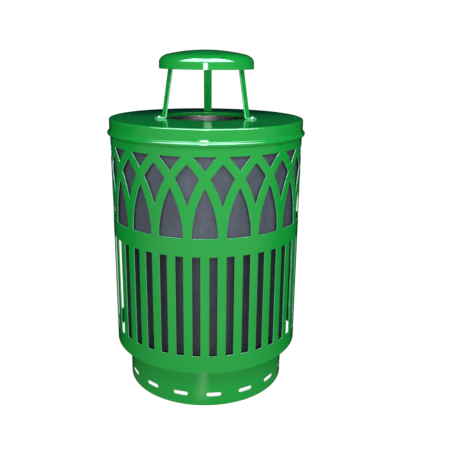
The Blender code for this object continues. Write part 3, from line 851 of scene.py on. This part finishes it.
def liner_bucket():
    corner, collar, top = LINER_CORNER, LINER_COLLAR_R, LINER_Z1
    foot = Vector((LINER_FOOT_R, LINER_Z0 + corner))
    waist = Vector((LINER_WAIST_R, LINER_WAIST_Z))
    shoulder = Vector((collar, LINER_SHOULDER_Z))
    collar_top = Vector((collar, top - 0.0080))
    # from the axis along the floor, round the corner and up the outside
    path = [(r, LINER_Z0) for r in (0.0, 0.060, 0.150, LINER_FOOT_R - corner - 0.002)]
    path += arc(LINER_FOOT_R - corner, LINER_Z0 + corner, corner, -90, -2, 8)
    path += [tuple(foot + (waist - foot) * share) for share in (0.01, 0.33, 0.66)]
    path += [towards(waist, foot, 0.008)]
    path += fillet(foot, waist, shoulder, LINER_BEND, 6)
    path += fillet(waist, shoulder, collar_top, LINER_BEND, 6)
    path += [(collar, LINER_SHOULDER_Z + 0.010), (collar, COLLAR_LINE_Z)]
    grip_u = lengths(path)[-1] + (GRIP_Z - COLLAR_LINE_Z)
    inner = offset_path(path, LINER_T)
    # the rim rolls outwards: its underside, then its top
    path += [
        (collar, top - 0.0080),
        (collar + 0.0004, top - 0.0060),
        (collar + 0.0016, top - 0.0046),
        (collar + 0.0030, top - 0.0041),
        (collar + LINER_RIM, top - 0.0040),
    ]
    inner += [
        (collar - LINER_T, top - 0.0080),
        (collar - 0.0026, top - 0.0035),
        (collar - 0.0012, top - 0.0010),
        (collar + 0.0010, top - 0.0001),
        (collar + LINER_RIM, top - 0.0004),
    ]
    grip = obround(0.0, 0.0, GRIP_L, GRIP_H)
    holes = [[(b + math.degrees(x / collar), grip_u + z) for x, z in grip] for b in GRIP_BEARINGS]
    surface = spun(
        path, LINER_T, 144, start=-180.0, bevel=0.0006, holes=holes, second=inner,
        closed_start=True,
    )
    obj = build("liner", surface, "liner", PLASTIC)
    mark_inside(obj)
    return obj


def lid():
    bead_top = BEAD_Z + BEAD_R
    # up the lip of the middle hole and over onto the deck
    path = [(LID_HOLE_R, LID_DECK - LID_LIP), (LID_HOLE_R, LID_DECK - LIP_BEND - 0.0006)]
    for a in map(math.radians, range(0, 91, 10)):
        r = LID_HOLE_R + LIP_BEND * (1 - math.cos(a))
        path.append((r, LID_DECK - LIP_BEND * (1 - math.sin(a))))
    deck_station = len(path) + 1
    path += [(r, LID_DECK) for r in (LID_HOLE_R + LIP_BEND + 0.0008, DECK_LINE_R, 0.1900)]
    # out to the edge, which is a little lower than the deck, and over it
    path += [(0.1920, LID_DECK - 0.00003), (LID_R - LID_EDGE - 0.0012, LID_TOP + 0.00002)]
    for a in map(math.radians, range(0, 91, 9)):
        r = LID_R - LID_EDGE * (1 - math.sin(a))
        path.append((r, LID_TOP - LID_EDGE * (1 - math.cos(a))))
    # down the skirt and round the bead
    path += [
        (LID_R, LID_TOP - LID_EDGE - 0.0008),
        (LID_R, LID_TOP - 0.022),
        (LID_R, bead_top + 0.0022),
        (LID_R + 0.00018, bead_top + 0.0013),
        (LID_R + 0.0008, bead_top + 0.0006),
    ]
    for a in map(math.radians, range(70, -76, -10)):
        path.append((LID_R + BEAD_R * math.cos(a), BEAD_Z + BEAD_R * math.sin(a)))
    path += [(LID_R + 0.0006, BEAD_Z - BEAD_R)]

    deck_u = lengths(path)[deck_station]
    holes = []
    for bearing in LEG_BEARINGS:
        hole = []
        for x, y in circle(0.0, 0.0, BOLT_HOLE_R):
            r = math.hypot(LEG_BOLT_R + x, y)
            turn = math.degrees(math.atan2(y, LEG_BOLT_R + x))
            hole.append((bearing + turn, deck_u + (r - DECK_LINE_R)))
        holes.append(hole)
    surface = spun(path, -LID_T, 168, start=-168.0, bevel=0.0003, holes=holes)
    build("lid", surface, "lid_assembly", GREEN)


def rain_cap():
    radii = [CAP_SHOULDER_R * i / 16 for i in range(16)]
    path = [(r, crown_z(r)) for r in radii]
    # the shoulder is a cubic curve from the crown to the skirt
    p0 = Vector((CAP_SHOULDER_R, crown_z(CAP_SHOULDER_R)))
    slope = Vector((1.0, -CAP_SHOULDER_R / CAP_CROWN_R)).normalized()
    p3 = Vector((CAP_R, CAP_SKIRT_Z))
    p1 = p0 + slope * SHOULDER_PULL
    p2 = p3 + Vector((0.0, SHOULDER_PULL))
    for i in range(25):
        t = i / 24
        point = p0 * (1 - t) ** 3 + p1 * (3 * t * (1 - t) ** 2)
        point = point + p2 * (3 * t * t * (1 - t)) + p3 * t**3
        path.append(tuple(point))
    path += [(CAP_R, CAP_SKIRT_Z - 0.002), (CAP_R, CAP_RIM_Z)]
    surface = spun(path, -CAP_T, 144, start=0.0, bevel=0.0004, closed_start=True)
    build("rain_cap", surface, "lid_assembly", GREEN)


def leg_section():
    """From the foot's outer end, along the foot, up the leg and inwards under the cap."""
    foot = Vector((LEG_FOOT_R, LID_DECK + FOOT_GAP))
    lean = Vector((-LEG_LEAN, 1.0)).normalized()
    root = Vector((LEG_ROOT_R, LID_DECK)) - Vector((lean.y, -lean.x)) * LEG_T
    low_corner = meet(foot, Vector((1.0, 0.0)), root, lean)
    tab_dir = Vector((1.0, -TAB_MID_R / CAP_CROWN_R)).normalized()
    tab_top = Vector((TAB_MID_R, crown_z(TAB_MID_R) - CAP_T * 1.03 - TAB_GAP))
    tab_under = tab_top + Vector((tab_dir.y, -tab_dir.x)) * LEG_T
    top_corner = meet(root, lean, tab_under, tab_dir)
    tab_end = tab_under + tab_dir * ((LEG_TAB_R - tab_under.x) / tab_dir.x)
    low_bend = fillet(foot, low_corner, top_corner, 0.0078, 10)
    top_bend = fillet(low_corner, top_corner, tab_end, 0.0030, 10)
    beside = 0.0008  # extra stations this far from each bend
    path = [tuple(foot), towards(low_bend[0], foot, beside), *low_bend]
    path += [towards(low_bend[-1], top_bend[0], beside)]
    path += [towards(top_bend[0], low_bend[-1], beside), *top_bend]
    return path + [towards(top_bend[-1], tab_end, beside), tuple(tab_end)]


def corner_cuts(end):
    """Cuts that reach past the flat bar's outline and leave its four corners rounded."""
    half = LEG_W / 2
    cuts = []
    for sx in (-1, 1):
        for u0, su in ((0.0, 1), (end, -1)):
            x, u = sx * (half - LEG_CORNER), u0 + su * LEG_CORNER
            cut = []
            for i in range(9):
                a = math.pi / 2 * i / 8
                cut.append((x + sx * LEG_CORNER * math.sin(a), u - su * LEG_CORNER * math.cos(a)))
            past_x, past_u = sx * (half + 0.01), u0 - su * 0.01
            cuts.append(cut + [(past_x, u), (past_x, past_u), (x, past_u)])
    return cuts


def cap_legs():
    """Bent flat bars with rounded arrises, each with a bolt hole in its foot."""
    bevel = 0.0007
    path = leg_section()
    stations = lengths(path)
    holes = [circle(0.0, LEG_FOOT_R - LEG_BOLT_R, BOLT_HOLE_R)] + corner_cuts(stations[-1])
    x_lines = [-LEG_W / 2 + bevel, -LEG_W / 4, 0.0, LEG_W / 4, LEG_W / 2 - bevel]
    for number, bearing in enumerate(LEG_BEARINGS, 1):
        angle = math.radians(bearing)
        out = Vector((math.sin(angle), -math.cos(angle), 0.0))
        across = Vector((math.cos(angle), math.sin(angle), 0.0))

        def face(at):
            def place(x, u):
                (r, z), normal = at(u)
                point = out * r + across * x + Vector((0.0, 0.0, z))
                return point, out * normal.x + Vector((0.0, 0.0, normal.y))

            return place

        places = [face(at) for at in two_profiles(path, -LEG_T)]
        surface = sheet(x_lines, stations, holes, places, bevel)
        build(f"cap_leg_{number}", surface, "lid_assembly", GREEN)


def finish_cad_nodes():
    """Materials and softened edges for the CAD nodes that stay visible."""
    for name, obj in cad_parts.items():
        if obj.hide_render:
            continue
        fastener = "bolt" in name or "nut" in name
        obj.data.materials.clear()
        obj.data.materials.append(ZINC if fastener else GREEN[0])
        bevel = obj.modifiers.new("soft_edges", "BEVEL")
        bevel.width = 0.0003 if fastener else 0.0005
        bevel.segments = 2
        bevel.limit_method = "ANGLE"
        bevel.angle_limit = math.radians(35)
        bevel.harden_normals = False


# material and the frame's slot name
GREEN = (green_coat(), "green_coat")
PLASTIC = (liner_plastic(), "liner_plastic")
ZINC = zinc_plate()

body_shell()
base_ring()
liner = liner_bucket()
lid()
rain_cap()
cap_legs()
finish_cad_nodes()

# ---------------------------------------------------------------- studio
FLOOR_LIFT = 0.95  # glow near the bin, as the camera sees it
FLOOR_FAR = 1.03  # and away from it
FLOOR_BOUNCE = 0.32  # light the floor sends to matt surfaces
FLOOR_FRONT = 0.70  # in the gloss, on the camera's side
FLOOR_DARK = 0.004  # in the gloss, elsewhere
FLOOR_STREAK = 1.6  # in the gloss, a narrow line towards the camera

WORLD_SEEN = 1.05
WORLD_FILL = 0.27
GLOSS_FRONT = 0.46
GLOSS_DARK = 0.030
GLOSS_DIM = 0.15  # for gloss after a diffuse bounce
DEGREES = 57.2958  # per radian

PANEL_EL = (22.0, 32.0, 70.0, 80.0)  # elevations: dark, full, full, dark
PANEL_AZ = (64.0, 76.0)  # azimuths either side: full, dark
PANEL_R = 4.0
PANEL_Z = 0.95
PANEL_LEFT = 23.0
PANEL_RIGHT = 27.0
PANEL_TINT = (0.70, 0.84, 1.0)

STRIP_AZ = -2.5
STRIP_W = 0.50
STRIP_Z = 0.86, 1.60
STRIP_LEVEL = 34.0
STRIP_TINT = (0.88, 0.92, 1.0)

# name, azimuth, distance, height, height aimed at, width, height of the box, power
KEY_LIGHTS = (
    ("key_front", 3.0, 3.4, 1.08, 0.58, 0.7, 0.5, 43.0),
    ("key_high_left", -42.0, 2.2, 2.85, 0.85, 1.4, 0.8, 13.0),
    ("key_high_mid", 0.0, 2.2, 2.85, 0.85, 1.0, 0.6, 9.0),
    ("key_high_right", 42.0, 2.2, 2.85, 0.85, 1.4, 0.8, 25.0),
    ("key_side_left", -68.0, 3.2, 0.80, 0.45, 0.9, 1.4, 4.5),
    ("key_side_right", 66.0, 3.2, 0.60, 0.40, 0.9, 1.0, 6.0),
)


def floor_material():
    """A pale sweep to the camera, a separate pattern to the gloss, an even glow to matt faces."""
    material = bpy.data.materials.new("studio_floor")
    material.cycles.emission_sampling = "NONE"
    nodes = Nodes(material)
    ray = nodes.add("ShaderNodeLightPath").outputs
    place = nodes.xyz(nodes.coord())
    x, y = place["X"], place["Y"]

    diffuse = nodes.add("ShaderNodeBsdfDiffuse", {"Color": (0.20, 0.20, 0.20)}).outputs[0]
    squares = nodes.math("ADD", nodes.math("POWER", x, 2.0), nodes.math("POWER", y, 2.0))
    away = nodes.math("SQRT", squares)
    lift = nodes.map(away, between=(0.45, 1.0), to=(FLOOR_LIFT, FLOOR_FAR))
    lift = nodes.glow("ShaderNodeEmission", lift)
    seen = nodes.add("ShaderNodeAddShader", {0: diffuse, 1: lift}).outputs[0]

    # the gloss: lighter on the camera's side, with a streak just left of the middle
    off_streak = nodes.math("ABSOLUTE", nodes.math("ADD", x, 0.02))
    front = nodes.map(y, between=(0.10, -0.90))
    azimuth = nodes.math("ARCTAN2", x, nodes.product(y, -1.0))
    azimuth = nodes.product(nodes.math("ABSOLUTE", azimuth), DEGREES)
    middle = nodes.map(azimuth, between=(40.0, 110.0), to=(1.0, 0.0))
    streak = nodes.math("POWER", nodes.map(off_streak, between=(0.055, 0.0)), 1.3)
    level = nodes.math("ADD", nodes.product(front, middle, FLOOR_FRONT), FLOOR_DARK)
    near_end = nodes.map(y, between=(-0.27, -0.33))
    far_end = nodes.map(y, between=(-0.46, -0.58), to=(1.0, 0.0))
    streak = nodes.product(streak, nodes.product(near_end, far_end), FLOOR_STREAK)
    level = nodes.math("ADD", level, streak)
    gloss = nodes.glow("ShaderNodeEmission", level, color=(0.97, 1.0, 0.98))

    shader = nodes.mix_shader(ray["Is Glossy Ray"], seen, gloss)
    bounce = nodes.glow("ShaderNodeEmission", FLOOR_BOUNCE)
    nodes.surface(nodes.mix_shader(ray["Is Diffuse Ray"], shader, bounce))
    return material


def studio_floor():
    mesh = bpy.data.meshes.new("studio_floor")
    bm = bmesh.new()
    bmesh.ops.create_grid(bm, x_segments=8, y_segments=8, size=14.0)
    bm.to_mesh(mesh)
    bm.free()
    floor = bpy.data.objects.new("studio_floor", mesh)
    scene.collection.objects.link(floor)
    mesh.materials.append(floor_material())


def studio_world():
    """White to the camera, a soft fill, and for the gloss a light front and a dark back."""
    world = bpy.data.worlds.new("studio")
    scene.world = world
    world.cycles.sampling_method = "NONE"
    nodes = Nodes(world, "ShaderNodeOutputWorld")
    ray = nodes.add("ShaderNodeLightPath").outputs
    place = nodes.xyz(nodes.coord("Generated"))
    kind = "ShaderNodeBackground"
    white = nodes.glow(kind, WORLD_SEEN, color=(1.0, 1.0, 1.0))
    fill = nodes.glow(kind, WORLD_FILL, color=(0.96, 0.98, 1.0))
    towards_camera = nodes.product(place["Y"], -1.0)
    azimuth = nodes.product(nodes.math("ARCTAN2", place["X"], towards_camera), DEGREES)
    azimuth = nodes.math("ABSOLUTE", azimuth)
    front = nodes.map(azimuth, between=(55.0, 125.0), to=(1.0, 0.0))
    level = nodes.math("ADD", nodes.product(front, GLOSS_FRONT), GLOSS_DARK)
    color = nodes.mix(front, (0.05, 0.60, 0.80), (0.95, 1.0, 0.98))
    gloss = nodes.glow(kind, level, color)
    dim = nodes.glow(kind, GLOSS_DIM)
    bounced = nodes.math("GREATER_THAN", ray["Diffuse Depth"], 0.5)
    glossy = nodes.mix_shader(bounced, gloss, dim)
    plain = nodes.mix_shader(ray["Is Camera Ray"], fill, white)
    nodes.surface(nodes.mix_shader(ray["Is Glossy Ray"], plain, glossy))


def ramp(value, zero, one):
    return min(1.0, max(0.0, (value - zero) / (one - zero)))


def light_panel():
    """A curved panel over the camera, mirrored in the gloss only; its edges fade out."""
    azimuths = [-76.0 + 4.0 * i for i in range(39)]
    elevations = [PANEL_EL[0] + (PANEL_EL[3] - PANEL_EL[0]) * j / 16 for j in range(17)]
    rows = len(elevations)
    verts, levels, faces = [], [], []
    for azimuth in azimuths:
        for elevation in elevations:
            a, b = math.radians(azimuth), math.radians(elevation)
            x = PANEL_R * math.cos(b) * math.sin(a)
            y = -PANEL_R * math.cos(b) * math.cos(a)
            verts.append((x, y, PANEL_Z + PANEL_R * math.sin(b)))
            fade = min(ramp(elevation, *PANEL_EL[:2]), ramp(elevation, PANEL_EL[3], PANEL_EL[2]))
            fade *= ramp(abs(azimuth), PANEL_AZ[1], PANEL_AZ[0])
            share = ramp(azimuth, -10.0, 22.0)
            levels.append(fade * (PANEL_LEFT + (PANEL_RIGHT - PANEL_LEFT) * share))
    for i in range(len(azimuths) - 1):
        for j in range(rows - 1):
            here, beside = i * rows + j, (i + 1) * rows + j
            faces.append((here, here + 1, beside + 1, beside))
    mesh = bpy.data.meshes.new("light_panel")
    mesh.from_pydata(verts, [], faces)
    mesh.attributes.new("level", "FLOAT", "POINT").data.foreach_set("value", levels)
    panel = bpy.data.objects.new("light_panel", mesh)
    scene.collection.objects.link(panel)
    panel.visible_camera = False
    panel.visible_diffuse = False
    panel.visible_shadow = False
    panel.visible_transmission = False
    material = bpy.data.materials.new("light_panel")
    nodes = Nodes(material)
    nodes.surface(nodes.glow("ShaderNodeEmission", nodes.attribute("level"), PANEL_TINT))
    mesh.materials.append(material)


def area(name, azimuth, distance, height, target, size, power, glossy=False):
    """Soft box aimed at a point; unless glossy, it stays out of the gloss."""
    light = bpy.data.lights.new(name, "AREA")
    light.shape = "RECTANGLE"
    light.size, light.size_y = size
    light.energy = power
    obj = bpy.data.objects.new(name, light)
    scene.collection.objects.link(obj)
    obj.location = polar(azimuth, distance, height)
    aim = Vector(target) - obj.location
    obj.rotation_euler = aim.to_track_quat("-Z", "Y").to_euler()
    obj.visible_glossy = glossy
    obj.visible_camera = False
    return obj


def strip_light():
    """An upright strip, mirrored in the gloss."""
    middle = sum(STRIP_Z) / 2
    height = STRIP_Z[1] - STRIP_Z[0]
    power = STRIP_LEVEL * math.pi * STRIP_W * height
    target = (0.0, 0.0, middle)
    strip = area("strip", STRIP_AZ, 3.4, middle, target, (STRIP_W, height), power, glossy=True)
    strip.visible_diffuse = False
    strip.data.color = STRIP_TINT


def throat_glow():
    """A small glow in the lid's opening, mirrored by the liner only."""
    throat = area(
        "throat_glow", azimuth=10.0, distance=0.11, height=0.889, target=(0.0, 0.29, 0.850),
        size=(0.03, 0.010), power=0.53, glossy=True,
    )
    throat.visible_diffuse = False
    receivers = bpy.data.collections.new("throat_sees")
    receivers.objects.link(liner)
    throat.light_linking.receiver_collection = receivers


def camera():
    yaw, pitch, roll = (math.radians(a) for a in (1.871, 16.264, 0.612))
    forward = Vector(
        (math.sin(yaw) * math.cos(pitch), math.cos(yaw) * math.cos(pitch), -math.sin(pitch))
    )
    level = Vector((math.cos(yaw), -math.sin(yaw), 0.0))
    upright = level.cross(forward)
    right = level * math.cos(roll) + upright * math.sin(roll)
    up = upright * math.cos(roll) - level * math.sin(roll)
    data = bpy.data.cameras.new("camera")
    data.sensor_width = 36.0
    data.sensor_fit = "HORIZONTAL"
    data.lens = 47.584
    data.clip_start = 0.05
    data.clip_end = 60.0
    obj = bpy.data.objects.new("camera", data)
    scene.collection.objects.link(obj)
    matrix = Matrix((right, up, -forward)).transposed().to_4x4()
    matrix.translation = (0.0, -1.9185, 1.0815)
    obj.matrix_world = matrix
    scene.camera = obj


scene.view_settings.view_transform = "Standard"
scene.view_settings.look = "None"
scene.view_settings.exposure = 0.0
scene.view_settings.gamma = 1.0
scene.render.film_transparent = False

studio_floor()
studio_world()
light_panel()
strip_light()
for name, azimuth, distance, height, aim_z, width, tall, power in KEY_LIGHTS:
    area(name, azimuth, distance, height, (0.0, 0.0, aim_z), (width, tall), power)
throat_glow()
camera()


def plain(box):
    return [[float(x) for x in box[0]], [float(x) for x in box[1]]]
